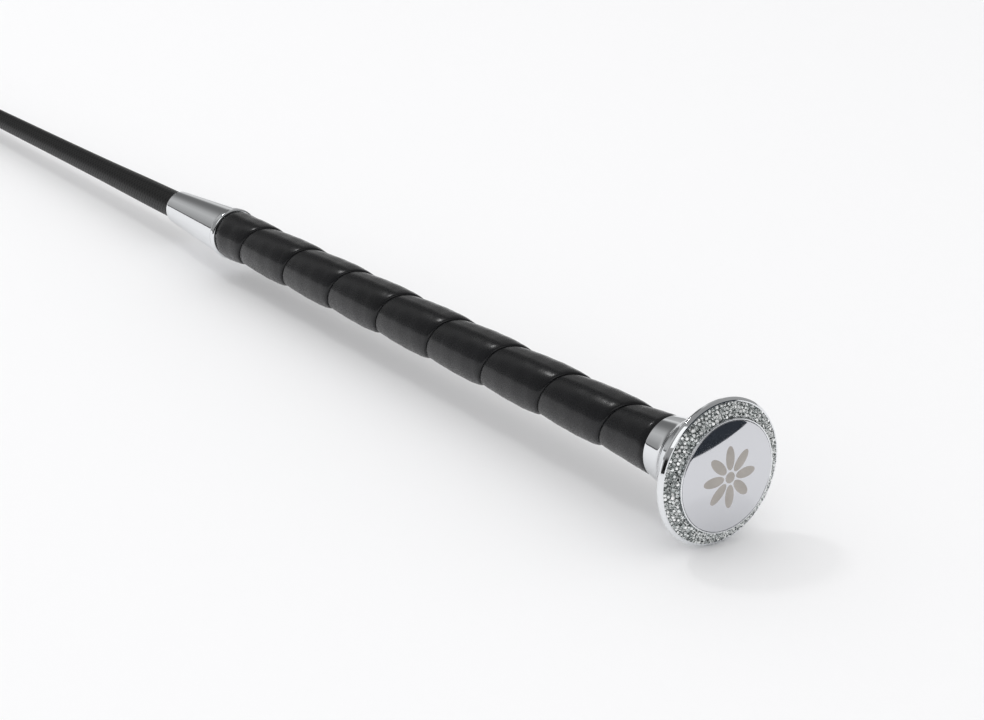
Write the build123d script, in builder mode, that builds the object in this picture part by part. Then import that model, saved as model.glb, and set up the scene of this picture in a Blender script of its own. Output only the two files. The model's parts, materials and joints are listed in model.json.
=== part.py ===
"""Riding crop: mushroom cap with set stones, wrapped leather grip, tapered shaft and leather keeper.

Frame: the origin is the crown of the cap's domed end disc. The crop's axis is the X axis, the disc
looks along +X, the shaft runs along -X and +Z is up. "Station" means the distance behind the
crown, so a station s lies at x = -s. All sizes are in millimetres.
"""
from build123d import *
import math
import os

# Driving dimensions
cap_radius = 18.9            # largest radius of the flange
disc_radius = 14.2           # mirror disc and its recess
dome_radius = 112.0          # the disc is slightly domed, with its crown at the origin
lip_width = 0.4              # raised ring round the disc
neck_end = 22.4              # station where the neck ends and the leather shows
neck_end_radius = 8.3
leather_radius = 7.55        # crest of the leather turns
handle_radius = 6.3          # rigid handle core
ferrule_start = 231.5        # station of the ferrule's wide end
ferrule_end = 267.5
shaft_end = 600.0            # station where the braided cover ends
keeper_hinge = 612.1         # station of the line that the keeper bends about
keeper_length = 62.0         # from the bending line to the fold
keeper_width = 26.0
keeper_thickness = 3.6

# Cap, front side
disc_back = 2.2              # station of the disc's flat back
recess_depth = 2.6           # station of the recess floor, the pad's thickness behind the disc
lip_radius = disc_radius + lip_width
groove_radius = 17.95        # outer wall of the stone groove
groove_depth = 4.2           # station of the groove's floor at that wall
bezel_crest = 3.25           # station of the bezel's crest, outside the stones
bezel_width = 0.45
rim_station = 4.15           # station of the flange's largest radius
rim_back = 4.85              # station where the flange's back starts
trumpet_end = 15.4           # station where the trumpet-shaped back meets the neck
trumpet_end_radius = 9.52
lip_crest = 0.95             # station of the lip's crest
bed_inner = 1.75             # station of the bed's surface at the lip
bed_outer = 3.68             # station of the bed's surface at the rim
web_station = 7.0            # back of the solid web behind the disc
socket_radius = 7.0          # inside of the neck
screw_radius = 1.5
screw_head_radius = 3.2
screw_head_height = 1.9
screw_tip = 17.0

# Stones
stone_sides = 6
stone_radius = 0.52
stone_height = 0.5
stone_sink = 0.03
stones_per_row = 92
stone_rows = (15.07, 15.88, 16.68, 17.48)
stone_table_taper = 30

# Inlay
petal_count = 8
petal_length = 6.2
petal_width = 2.7
petal_centre = 5.0
emblem_heart = 1.45
emblem_depth = 0.15

# Grip
rod_start = 18.0             # station where the rod's butt sits in the handle core
handle_start = web_station
handle_end = 242.2
wrap_start = 15.0
wrap_end = 241.2
tucked_radius = 6.75         # leather where it is bound down under the metal
padding_radius = 6.7
padding_start = 23.2
padding_end = 226.2
shoulder_radius = 8.05       # leather where it comes out of the neck
shoulder_padding = 7.1
binding_length = 5.0
binding_starts = (("wrap_binding_cap", 16.2), ("wrap_binding_ferrule", 234.7))

# Ferrule
ferrule_mouth_radius = 7.85
ferrule_bead_radius = 8.15
ferrule_bead_length = 2.2
ferrule_nose_radius = 5.62
ferrule_nose_length = 2.6
ferrule_bore = 4.48
bush_start = handle_end
bush_end = 264.0
cone_start = 241.7           # station where the ferrule's inside starts to narrow
bush_nose_radius = 5.0

# Rod and cover: stations and outer radii of the cover, whose wall is constant
cover_wall = 0.65
cover_parallel_end = ferrule_end
cover_parallel_radius = 4.4
taper = ((cover_parallel_end, cover_parallel_radius), (325.6, 3.74), (376.6, 3.36), (452.0, 2.95),
         (532.0, 2.6), (shaft_end, 2.35))
rod_end = 606.0

# Tip
neck_start = 574.0
neck_radius = 3.2
whipping_start = 576.0
whipping_turns = 34
whipping_pitch = 0.7
whipping_radius = 3.9
strap_start = 601.0
strap_end = keeper_hinge - keeper_thickness / 2 - 0.3
strap_width = 9.0
leaf_gap = 0.4
leaf_split = 9.0             # length from the bending line to where the leaves part
flare_end = 18.0             # length over which the keeper widens
stitch_length = 2.2
stitch_width = 0.5
stitch_height = 0.22
stitch_pitch = 3.2
stitch_count = 11
stitch_inset = 2.8
stitch_groove_width = 0.9
stitch_groove_depth = 0.25   # the stitches lie in grooves, below the leather's faces

os.makedirs("parts", exist_ok=True)


def turned(*points):
    """Turn a straight-sided profile of (station, radius) points about the crop's axis."""
    with BuildSketch(Plane.XZ) as profile:
        with BuildLine():
            Polyline(*[(-station, radius) for station, radius in points], close=True)
        make_face()
    revolve(profile.sketch, axis=Axis.X)


def save(part, name):
    """Label a finished piece and write it."""
    part.label = name
    export_step(part, f"parts/{name}.step")


def along_taper(offset):
    """Points of the shaft's taper, moved inwards by offset."""
    return [(-station, radius - offset) for station, radius in taper]


# Mushroom cap: flange with a disc recess and a stone groove, trumpet-shaped back, hollow neck
with BuildPart() as cap_shell:
    with BuildSketch(Plane.XZ):
        with BuildLine():
            bezel_edge = (-bezel_crest - 0.12, groove_radius + bezel_width)
            flange_edge = (-rim_station - 0.45, cap_radius - 0.1)
            neck_edge = (-neck_end + 0.25, neck_end_radius)
            Polyline((-recess_depth, 0), (-recess_depth, lip_radius), (-groove_depth, groove_radius),
                     (-bezel_crest - 0.15, groove_radius), (-bezel_crest, groove_radius + 0.15),
                     bezel_edge)
            ThreePointArc(bezel_edge, (-rim_station, cap_radius), flange_edge)
            FilletPolyline(flange_edge, (-rim_back, cap_radius - 0.4),
                           (-trumpet_end, trumpet_end_radius), neck_edge, radius=(0.3, 5.0))
            Polyline(neck_edge, (-neck_end, neck_end_radius - 0.17),
                     (-neck_end, socket_radius), (-web_station, socket_radius), (-web_station, 0),
                     (-recess_depth, 0))
        make_face()
    revolve(axis=Axis.X)
    with Locations(Plane((-recess_depth, 0, 0), x_dir=(0, 1, 0), z_dir=(1, 0, 0))):
        CounterSinkHole(radius=screw_radius + 0.1, counter_sink_radius=screw_head_radius,
                        depth=web_station, counter_sink_angle=90)
save(cap_shell.part, "cap_shell")

# Screw from the recess into the handle core; its head is flush with the recess floor
with BuildPart() as cap_screw:
    turned((recess_depth, 0), (recess_depth, screw_head_radius - 0.05),
           (recess_depth + screw_head_height - 0.2, screw_radius), (screw_tip - 2, screw_radius),
           (screw_tip, 0.3), (screw_tip, 0))
    with BuildSketch(Plane((-recess_depth, 0, 0), x_dir=(0, 1, 0), z_dir=(-1, 0, 0))):
        Rectangle(3.4, 0.7)
        Rectangle(0.7, 3.4)
    extrude(amount=1.2, mode=Mode.SUBTRACT)
save(cap_screw.part, "cap_screw")

with BuildPart() as face_adhesive:
    turned((disc_back, 0), (disc_back, disc_radius - 0.6), (recess_depth, disc_radius - 0.6),
           (recess_depth, 0))
save(face_adhesive.part, "face_adhesive")

face = Plane((0, 0, 0), x_dir=(0, 1, 0), z_dir=(1, 0, 0))


def dome_edge(back=0.0):
    """Points of the dome's arc from the axis to the disc's edge, moved back by the given amount."""
    points = []
    for radius in (0, disc_radius / 2, disc_radius - 0.05):
        sag = dome_radius - math.sqrt(dome_radius ** 2 - radius ** 2)
        points.append((-sag - back, radius))
    return points


# Rosette inlay: round-ended petals about a small heart, following the dome
with BuildPart() as face_emblem:
    with BuildSketch(face):
        with PolarLocations(petal_centre, petal_count):
            Ellipse(petal_length / 2, petal_width / 2)
        Circle(emblem_heart)
    extrude(amount=-disc_back)
    with BuildSketch(Plane.XZ):
        with BuildLine():
            ThreePointArc(*dome_edge())
            ThreePointArc(*dome_edge(emblem_depth))
            Line(dome_edge()[0], dome_edge(emblem_depth)[0])
            Line(dome_edge()[2], dome_edge(emblem_depth)[2])
        make_face()
    revolve(axis=Axis.X, mode=Mode.INTERSECT)
save(face_emblem.part, "face_emblem")

# Mirror disc: domed face, softened edge, flat back and the inlay's pockets
with BuildPart() as face_plate:
    with BuildSketch(Plane.XZ):
        with BuildLine():
            ThreePointArc(*dome_edge())
            edge_point = dome_edge()[2]
            Polyline(edge_point, (-disc_back, disc_radius - 0.05), (-disc_back, 0), (0, 0))
        make_face()
    revolve(axis=Axis.X)
    rim_wall = face_plate.faces().filter_by(GeomType.CYLINDER)
    fillet(rim_wall.edges().filter_by(GeomType.CIRCLE).sort_by(Axis.X)[-1], 0.25)
    add(face_emblem.part, mode=Mode.SUBTRACT)
save(face_plate.part, "face_plate")

# Raised lip between the disc and the stones, with a rounded crest
with BuildPart() as face_ring:
    turned((lip_crest, disc_radius), (lip_crest, lip_radius), (recess_depth, lip_radius),
           (recess_depth, disc_radius))
    fillet(face_ring.edges().filter_by(GeomType.CIRCLE).sort_by(Axis.X)[-2:], 0.18)
save(face_ring.part, "face_ring")

# Resin bed with a sloping face
with BuildPart() as crystal_bed:
    turned((bed_inner, lip_radius), (bed_outer, groove_radius), (groove_depth, groove_radius),
           (recess_depth, lip_radius))
save(crystal_bed.part, "crystal_bed")

# Stones in four rows on the bed, each a six-sided crown with a flat table
slope = math.atan2(bed_outer - bed_inner, groove_radius - lip_radius)
stone_planes = []
for row, row_radius in enumerate(stone_rows):
    row_station = bed_inner + (row_radius - lip_radius) * math.tan(slope)
    for index in range(stones_per_row):
        angle = 2 * math.pi * (index + 0.5 * (row % 2)) / stones_per_row
        outward = Vector(0, math.cos(angle), math.sin(angle))
        normal = Vector(math.cos(slope), 0, 0) + outward * math.sin(slope)
        seat = Vector(-row_station, 0, 0) + outward * row_radius - normal * stone_sink
        across = Vector(0, -math.sin(angle), math.cos(angle))
        stone_planes.append(Plane(seat, x_dir=across, z_dir=normal))
with BuildPart() as crystals:
    with BuildSketch(*stone_planes):
        RegularPolygon(stone_radius, stone_sides, rotation=180 / stone_sides)
    extrude(amount=stone_height, taper=stone_table_taper)
save(crystals.part, "crystals")

# Fibreglass rod: parallel in the handle, then tapered to the tip
rod_butt_radius = cover_parallel_radius - cover_wall
with BuildPart() as core_rod:
    with BuildSketch(Plane.XZ):
        with BuildLine():
            rod_taper = Spline(*along_taper(cover_wall), tangents=((-1, 0), (-1, 0)))
            Polyline(rod_taper @ 1, (-rod_end, taper[-1][1] - cover_wall), (-rod_end, 0),
                     (-rod_start, 0), (-rod_start, rod_butt_radius), rod_taper @ 0)
        make_face()
    revolve(axis=Axis.X)
save(core_rod.part, "core_rod")

# Braided cover of the rod, from the handle core to the tip
with BuildPart() as shaft_cover:
    with BuildSketch(Plane.XZ):
        with BuildLine():
            outside = Spline(*along_taper(0), tangents=((-1, 0), (-1, 0)))
            inside = Spline(*along_taper(cover_wall), tangents=((-1, 0), (-1, 0)))
            Line(outside @ 1, inside @ 1)
            Polyline(inside @ 0, (-handle_end, rod_butt_radius),
                     (-handle_end, cover_parallel_radius), outside @ 0)
        make_face()
    revolve(axis=Axis.X)
save(shaft_cover.part, "shaft_cover")

# Handle core: drilled for the rod, and for the screw at its cap end
with BuildPart() as handle_core:
    turned((handle_start, 0), (handle_start, handle_radius), (handle_end, handle_radius),
           (handle_end, rod_butt_radius), (rod_start, rod_butt_radius), (rod_start, 0))
    with BuildSketch(Plane((-handle_start, 0, 0), x_dir=(0, 1, 0), z_dir=(-1, 0, 0))):
        Circle(screw_radius)
    extrude(amount=screw_tip - handle_start, mode=Mode.SUBTRACT)
save(handle_core.part, "handle_core")

with BuildPart() as grip_padding:
    turned((padding_start, handle_radius), (padding_start + 1.4, shoulder_padding),
           (padding_start + 12, padding_radius), (padding_end - 2, padding_radius),
           (padding_end, handle_radius))
save(grip_padding.part, "grip_padding")

# Leather: tucked down under neck and ferrule, swelling over the padding between them
with BuildPart() as grip_wrap:
    turned((wrap_start, handle_radius), (wrap_start, tucked_radius), (neck_end, tucked_radius),
           (neck_end + 0.5, 7.75), (neck_end + 1.6, shoulder_radius), (neck_end + 5, 7.8),
           (neck_end + 12, leather_radius), (padding_end - 4, leather_radius),
           (ferrule_start - 2, 7.4), (ferrule_start - 0.4, 7.1), (ferrule_start, tucked_radius),
           (wrap_end, tucked_radius), (wrap_end, handle_radius), (padding_end, handle_radius),
           (padding_end - 2, padding_radius), (padding_start + 12, padding_radius),
           (padding_start + 1.4, shoulder_padding), (padding_start, handle_radius))
save(grip_wrap.part, "grip_wrap")

# Thread bindings of the leather's two ends
for binding_name, binding_start in binding_starts:
    with BuildPart() as wrap_binding:
        turned((binding_start, tucked_radius), (binding_start, socket_radius),
               (binding_start + binding_length, socket_radius),
               (binding_start + binding_length, tucked_radius))
    save(wrap_binding.part, binding_name)

# Ferrule: beaded mouth, straight taper, rounded nose
with BuildPart() as ferrule:
    with BuildSketch(Plane.XZ):
        with BuildLine():
            Polyline((-ferrule_start, socket_radius), (-ferrule_start, ferrule_mouth_radius - 0.1))
            ThreePointArc((-ferrule_start, ferrule_mouth_radius - 0.1),
                          (-ferrule_start - ferrule_bead_length / 2, ferrule_bead_radius),
                          (-ferrule_start - ferrule_bead_length, ferrule_mouth_radius + 0.1))
            nose = (-ferrule_end + ferrule_nose_length, ferrule_nose_radius)
            Line((-ferrule_start - ferrule_bead_length, ferrule_mouth_radius + 0.1), nose)
            Spline(nose, (-ferrule_end + 0.7, ferrule_nose_radius - 0.5),
                   (-ferrule_end, ferrule_bore + 0.12), tangents=((-1.0, -0.075), (-0.15, -1.0)))
            Polyline((-ferrule_end, ferrule_bore + 0.12), (-ferrule_end, ferrule_bore),
                     (-bush_end, ferrule_bore), (-bush_end, bush_nose_radius),
                     (-cone_start, socket_radius), (-ferrule_start, socket_radius))
        make_face()
    revolve(axis=Axis.X)
save(ferrule.part, "ferrule")

# Bush between the ferrule's cone and the shaft
cone_slope = (socket_radius - bush_nose_radius) / (bush_end - cone_start)
with BuildPart() as ferrule_bush:
    turned((bush_start, cover_parallel_radius),
           (bush_start, socket_radius - cone_slope * (bush_start - cone_start)),
           (bush_end, bush_nose_radius), (bush_end, cover_parallel_radius))
save(ferrule_bush.part, "ferrule_bush")

# Keeper tails: a sleeve on the shaft's end that runs out into a flat strap
with BuildPart() as keeper_neck:
    turned((neck_start, 0), (neck_start, neck_radius - 0.35), (neck_start + 1.0, neck_radius),
           (strap_start + 2, neck_radius), (strap_start + 2, 0))
    with BuildSketch(Plane.XY.offset(-keeper_thickness / 2)):
        with Locations((-(strap_start + strap_end) / 2, 0)):
            Rectangle(strap_end - strap_start, strap_width)
    extrude(amount=keeper_thickness)
    fillet(keeper_neck.edges().filter_by(Axis.X).sort_by(SortBy.LENGTH)[-4:], 0.8)
    add(core_rod.part, mode=Mode.SUBTRACT)
    add(shaft_cover.part, mode=Mode.SUBTRACT)
save(keeper_neck.part, "keeper_neck")

# Whipping: close turns of waxed thread, each a round bead
with BuildPart() as tip_whipping:
    valley = whipping_radius - whipping_pitch * 0.4
    whipping_end = whipping_start + whipping_turns * whipping_pitch
    with BuildSketch(Plane.XZ):
        with BuildLine():
            for turn in range(whipping_turns):
                station = whipping_start + turn * whipping_pitch
                ThreePointArc((-station, valley), (-station - whipping_pitch / 2, whipping_radius),
                              (-station - whipping_pitch, valley))
            Polyline((-whipping_end, valley), (-whipping_end, neck_radius),
                     (-whipping_start, neck_radius), (-whipping_start, valley))
        make_face()
    revolve(axis=Axis.X)
save(tip_whipping.part, "tip_whipping")

# Keeper: one leather strip folded at its far end into two leaves, widened from the bending line
with BuildPart() as keeper_tongue:
    half = keeper_thickness / 2
    fold = keeper_hinge + keeper_length
    with BuildSketch(Plane.XZ):
        with Locations((-(keeper_hinge + fold) / 2, 0)):
            SlotOverall(keeper_length + 2 * half, keeper_thickness)
        with Locations((-(keeper_hinge + leaf_split + fold) / 2, 0)):
            SlotOverall(keeper_length - leaf_split, leaf_gap, mode=Mode.SUBTRACT)
    extrude(amount=keeper_width / 2, both=True)
    with BuildSketch(Plane.XY.offset(-half)):
        with BuildLine():
            Polyline((-keeper_hinge + half, strap_width / 2), (-keeper_hinge - 2, strap_width / 2))
            Spline((-keeper_hinge - 2, strap_width / 2), (-keeper_hinge - flare_end, keeper_width / 2),
                   tangents=((-1, 0), (-1, 0)))
            Polyline((-keeper_hinge - flare_end, keeper_width / 2), (-fold + 5, keeper_width / 2))
            ThreePointArc((-fold + 5, keeper_width / 2), (-fold + 0.2, keeper_width / 2 - 2.6),
                          (-fold - half, keeper_width / 2 - 8))
            Line((-fold - half, keeper_width / 2 - 8), (-fold - half, 0))
            mirror(about=Plane.XZ)
            Line((-keeper_hinge + half, strap_width / 2), (-keeper_hinge + half, -strap_width / 2))
        make_face()
    extrude(amount=keeper_thickness, mode=Mode.INTERSECT)
    stitch_start = keeper_hinge + flare_end + 4
    row_length = (stitch_count - 1) * stitch_pitch
    stitch_row = keeper_width / 2 - stitch_inset
    with BuildSketch(Plane.XY.offset(half), Plane.XY.offset(-half)):
        with Locations((-stitch_start - row_length / 2, stitch_row),
                       (-stitch_start - row_length / 2, -stitch_row)):
            SlotOverall(row_length + stitch_length + stitch_groove_width, stitch_groove_width)
    extrude(amount=stitch_groove_depth, both=True, mode=Mode.SUBTRACT)
save(keeper_tongue.part, "keeper_tongue")

# Stitches in the grooves along both edges of both leaves
stitch_seats = []
for index in range(stitch_count):
    for side in (-1, 1):
        stitch_seats.append((-stitch_start - index * stitch_pitch, side * stitch_row))
groove_floor = half - stitch_groove_depth
with BuildPart() as keeper_stitching:
    with BuildSketch(Plane.XY.offset(groove_floor), Plane.XY.offset(-groove_floor - stitch_height)):
        with Locations(*stitch_seats):
            SlotOverall(stitch_length, stitch_width)
    extrude(amount=stitch_height)
save(keeper_stitching.part, "keeper_stitching")
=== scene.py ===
import json
import logging
import math
from dataclasses import dataclass
from enum import Enum

import bpy
import numpy as np
from mathutils import Matrix, Vector


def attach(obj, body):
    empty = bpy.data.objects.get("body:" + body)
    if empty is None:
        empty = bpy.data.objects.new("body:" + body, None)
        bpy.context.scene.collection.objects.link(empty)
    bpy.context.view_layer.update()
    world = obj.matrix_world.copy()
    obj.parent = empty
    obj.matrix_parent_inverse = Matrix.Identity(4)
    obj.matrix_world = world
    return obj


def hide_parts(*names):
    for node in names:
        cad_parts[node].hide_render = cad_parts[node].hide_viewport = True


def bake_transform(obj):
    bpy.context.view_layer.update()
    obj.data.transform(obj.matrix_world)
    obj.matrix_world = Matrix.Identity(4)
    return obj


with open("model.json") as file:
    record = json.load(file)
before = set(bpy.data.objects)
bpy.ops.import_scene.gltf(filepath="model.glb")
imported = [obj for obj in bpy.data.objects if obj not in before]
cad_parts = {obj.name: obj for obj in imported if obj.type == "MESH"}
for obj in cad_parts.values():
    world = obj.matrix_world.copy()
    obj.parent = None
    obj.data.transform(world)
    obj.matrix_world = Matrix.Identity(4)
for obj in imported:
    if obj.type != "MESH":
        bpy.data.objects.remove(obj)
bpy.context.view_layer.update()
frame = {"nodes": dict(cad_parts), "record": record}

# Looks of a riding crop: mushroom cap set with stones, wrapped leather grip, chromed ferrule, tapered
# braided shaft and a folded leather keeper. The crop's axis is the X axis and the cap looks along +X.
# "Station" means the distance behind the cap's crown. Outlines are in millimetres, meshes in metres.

LOG = logging.getLogger("crop")
MM = 0.001
TURN = 2.0 * math.pi
MAP_LENGTH = 25.0        # millimetres along a piece that its own map's unit stands for
CROP_BODY = "crop"
KEEPER_BODY = "keeper"


# ----------------------------------------------------------------------------- shared tools


class Lay(Enum):
    """Which way a strip or thread winds, seen along +X."""

    LEFT_HAND = 1
    RIGHT_HAND = -1


def linear(colour: str) -> tuple[float, float, float, float]:
    """Turn an sRGB hex colour into a linear RGBA value.

    Args:
        colour: Six hex digits after a hash sign.

    Returns:
        Linear red, green and blue, with an alpha of one.
    """
    channels = [int(colour[i:i + 2], 16) / 255.0 for i in (1, 3, 5)]
    lit = [c / 12.92 if c <= 0.04045 else ((c + 0.055) / 1.055) ** 2.4 for c in channels]
    return (lit[0], lit[1], lit[2], 1.0)


def smoothstep(low: float, high: float, value: np.ndarray) -> np.ndarray:
    """Ease from 0 at low to 1 at high with a cubic that is level at both ends.

    Args:
        low: Value where the result leaves 0.
        high: Value where the result reaches 1.
        value: Values to ease.

    Returns:
        An array shaped like value.
    """
    t = np.clip((value - low) / (high - low), 0.0, 1.0)
    return t * t * (3.0 - 2.0 * t)


def add_node(tree: bpy.types.NodeTree, kind: str, settings: dict | None = None,
             values: dict | None = None, links: dict | None = None) -> bpy.types.Node:
    """Add one shader node with its settings, socket values and incoming links.

    Args:
        tree: Node tree that gets the node.
        kind: Blender's type name of the node.
        settings: Node properties by name.
        values: Socket values by socket name or index.
        links: Output sockets to link, by input socket name or index.

    Returns:
        The new node.
    """
    node = tree.nodes.new(kind)
    for key, value in (settings or {}).items():
        setattr(node, key, value)
    for key, value in (values or {}).items():
        node.inputs[key].default_value = value
    for key, source in (links or {}).items():
        tree.links.new(source, node.inputs[key])
    return node


def grid_faces(rows: int, columns: int, close_rows: bool, close_columns: bool) -> np.ndarray:
    """List the quads of a grid of points numbered row by row.

    Args:
        rows: Number of rows.
        columns: Number of points in a row.
        close_rows: Join the last row to the first.
        close_columns: Join the last column to the first.

    Returns:
        An array of four point numbers for each quad.
    """
    row = np.arange(rows if close_rows else rows - 1)[:, None]
    column = np.arange(columns if close_columns else columns - 1)[None, :]
    next_row = (row + 1) % rows
    next_column = (column + 1) % columns
    corners = [row * columns + column, row * columns + next_column,
               next_row * columns + next_column, next_row * columns + column]
    return np.stack([np.broadcast_to(c, (row.size, column.size)) for c in corners], -1).reshape(-1, 4)


def signed_volume(points: np.ndarray, quads: np.ndarray, triangles: np.ndarray) -> float:
    """Add up the signed tetrahedra between the origin and every face.

    Args:
        points: Points, one per row.
        quads: Four point numbers for each quad.
        triangles: Three point numbers for each triangle.

    Returns:
        The enclosed volume, negative when the faces point inwards.
    """
    split = np.concatenate([quads[:, [0, 1, 2]], quads[:, [0, 2, 3]], triangles])
    a, b, c = points[split[:, 0]], points[split[:, 1]], points[split[:, 2]]
    return float(np.einsum("ij,ij->i", a, np.cross(b, c)).sum() / 6.0)


def make_piece(name: str, points: np.ndarray, quads: np.ndarray, triangles: np.ndarray | None = None,
               uv: np.ndarray | None = None, crease_deg: float = 35.0) -> bpy.types.Object:
    """Build a closed mesh object from arrays, with its faces turned outwards.

    Args:
        name: Piece name.
        points: Points in millimetres, one per row.
        quads: Four point numbers for each quad.
        triangles: Three point numbers for each triangle, if any.
        uv: One texture coordinate for each point, if any.
        crease_deg: Edges sharper than this angle stay sharp. Zero leaves every face flat.

    Returns:
        The new object, linked to the scene.
    """
    quads = np.asarray(quads, dtype=np.int32).reshape(-1, 4)
    triangles = np.asarray([] if triangles is None else triangles, dtype=np.int32).reshape(-1, 3)
    if signed_volume(points, quads, triangles) < 0.0:
        quads, triangles = quads[:, ::-1], triangles[:, ::-1]
    corners = np.concatenate([quads.ravel(), triangles.ravel()])
    sizes = np.concatenate([np.full(len(quads), 4), np.full(len(triangles), 3)])
    mesh = bpy.data.meshes.new(name)
    mesh.vertices.add(len(points))
    mesh.vertices.foreach_set("co", (points * MM).astype(np.float32).ravel())
    mesh.loops.add(len(corners))
    mesh.loops.foreach_set("vertex_index", corners.astype(np.int32))
    mesh.polygons.add(len(sizes))
    mesh.polygons.foreach_set("loop_start", (np.cumsum(sizes) - sizes).astype(np.int32))
    mesh.update(calc_edges=True)
    if uv is not None:
        layer = mesh.uv_layers.new(name="surface")
        layer.data.foreach_set("uv", uv[corners].astype(np.float32).ravel())
    mesh.polygons.foreach_set("use_smooth", np.full(len(sizes), crease_deg > 0.0))
    if crease_deg > 0.0:
        mesh.set_sharp_from_angle(angle=math.radians(crease_deg))
    mesh.validate()
    piece = bpy.data.objects.new(name, mesh)
    bpy.context.scene.collection.objects.link(piece)
    return piece


def rounded_outline(corners: list[tuple[float, float, float]], steps: int = 8) -> np.ndarray:
    """Round the corners of an outline with tangent arcs.

    Each corner's arc touches its two runs at radius times the tangent of half the turn.

    Args:
        corners: Station, radius from the axis and rounding radius of each corner in order.
        steps: Points on each arc.

    Returns:
        Outline points as station and radius.
    """
    spots = np.array(corners)[:, :2]
    pieces = [spots[:1]]
    for k in range(1, len(corners) - 1):
        before, here, after, bend = spots[k - 1], spots[k], spots[k + 1], corners[k][2]
        back, on = before - here, after - here
        back, on = back / np.hypot(*back), on / np.hypot(*on)
        half = 0.5 * math.acos(float(np.clip(back @ on, -1.0, 1.0)))
        if bend <= 0.0 or half > 1.56:
            pieces.append(spots[k:k + 1])
            continue
        centre = here + (back + on) / np.hypot(*(back + on)) * bend / math.sin(half)
        first = here + back * bend / math.tan(half)
        last = here + on * bend / math.tan(half)
        start = math.atan2(*(first - centre)[::-1])
        sweep = math.atan2(*(last - centre)[::-1]) - start
        sweep = (sweep + math.pi) % TURN - math.pi
        angle = start + sweep * np.linspace(0.0, 1.0, steps)
        pieces.append(centre + bend * np.stack([np.cos(angle), np.sin(angle)], -1))
    pieces.append(spots[-1:])
    return np.concatenate(pieces)


def refined(outline: np.ndarray, longest: float) -> np.ndarray:
    """Split the long runs of an outline so that no run is longer than a length.

    Args:
        outline: Outline points.
        longest: Longest run wanted, in the outline's unit.

    Returns:
        The outline with points added on its long runs.
    """
    length = np.hypot(*np.diff(outline, axis=0).T)
    count = np.maximum(1, np.ceil(length / longest).astype(int))
    runs = [np.linspace(a, b, n, endpoint=False) for a, b, n in zip(outline[:-1], outline[1:], count)]
    return np.concatenate(runs + [outline[-1:]])


def lathe(name: str, outline: np.ndarray, segments: int = 192, crease_deg: float = 35.0) -> bpy.types.Object:
    """Turn an outline about the crop's axis.

    A point of the outline at station s and radius r becomes (-s, -r sin a, r cos a) at angle a. An
    outline that starts and ends on the axis closes in two poles, and any other one is a ring.

    Args:
        name: Piece name.
        outline: Station and radius of each outline point, in millimetres.
        segments: Points round the axis.
        crease_deg: Edges sharper than this stay sharp.

    Returns:
        The turned piece.
    """
    angle = np.linspace(0.0, TURN, segments, endpoint=False)
    poles = outline[0, 1] < 1e-6 and outline[-1, 1] < 1e-6
    ring = outline[1:-1] if poles else outline
    station = np.broadcast_to(ring[:, :1], (len(ring), segments))
    points = np.stack([-station, -ring[:, 1:] * np.sin(angle), ring[:, 1:] * np.cos(angle)], -1)
    points = points.reshape(-1, 3)
    uv = np.stack([np.broadcast_to(angle / TURN, station.shape), station / MAP_LENGTH], -1)
    uv = uv.reshape(-1, 2)
    if not poles:
        return make_piece(name, points, grid_faces(len(ring), segments, True, True), uv=uv,
                          crease_deg=crease_deg)
    column = np.arange(segments)
    beside = (column + 1) % segments
    last = (len(ring) - 1) * segments
    first_pole, last_pole = len(points), len(points) + 1
    fans = np.concatenate([
        np.stack([np.full(segments, first_pole), beside, column], -1),
        np.stack([np.full(segments, last_pole), last + column, last + beside], -1)])
    tips = np.array([[-outline[0, 0], 0.0, 0.0], [-outline[-1, 0], 0.0, 0.0]])
    tip_uv = np.array([[0.5, outline[0, 0] / MAP_LENGTH], [0.5, outline[-1, 0] / MAP_LENGTH]])
    return make_piece(name, np.concatenate([points, tips]), grid_faces(len(ring), segments, False, True),
                      fans, uv=np.concatenate([uv, tip_uv]), crease_deg=crease_deg)


def dress(piece: bpy.types.Object, finish: "Finish", slot: str, body: str, *nodes: str) -> bpy.types.Object:
    """Give a new piece its material and its body, and hide the CAD nodes that it replaces.

    Args:
        piece: The new piece.
        finish: Finish of the whole piece.
        slot: The record's material slot. Not used.
        body: Body that the piece moves with, or an empty text for a piece that is attached to no body.
        nodes: CAD nodes that the piece replaces.

    Returns:
        The same piece.
    """
    piece.data.materials.clear()
    piece.data.materials.append(finish.material())
    if body:
        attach(piece, body)
    if nodes:
        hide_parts(*nodes)
    LOG.info("piece %s: %d points", piece.name, len(piece.data.vertices))
    return piece


# ----------------------------------------------------------------------------- finishes

_MATERIALS: dict[str, bpy.types.Material] = {}


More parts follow.
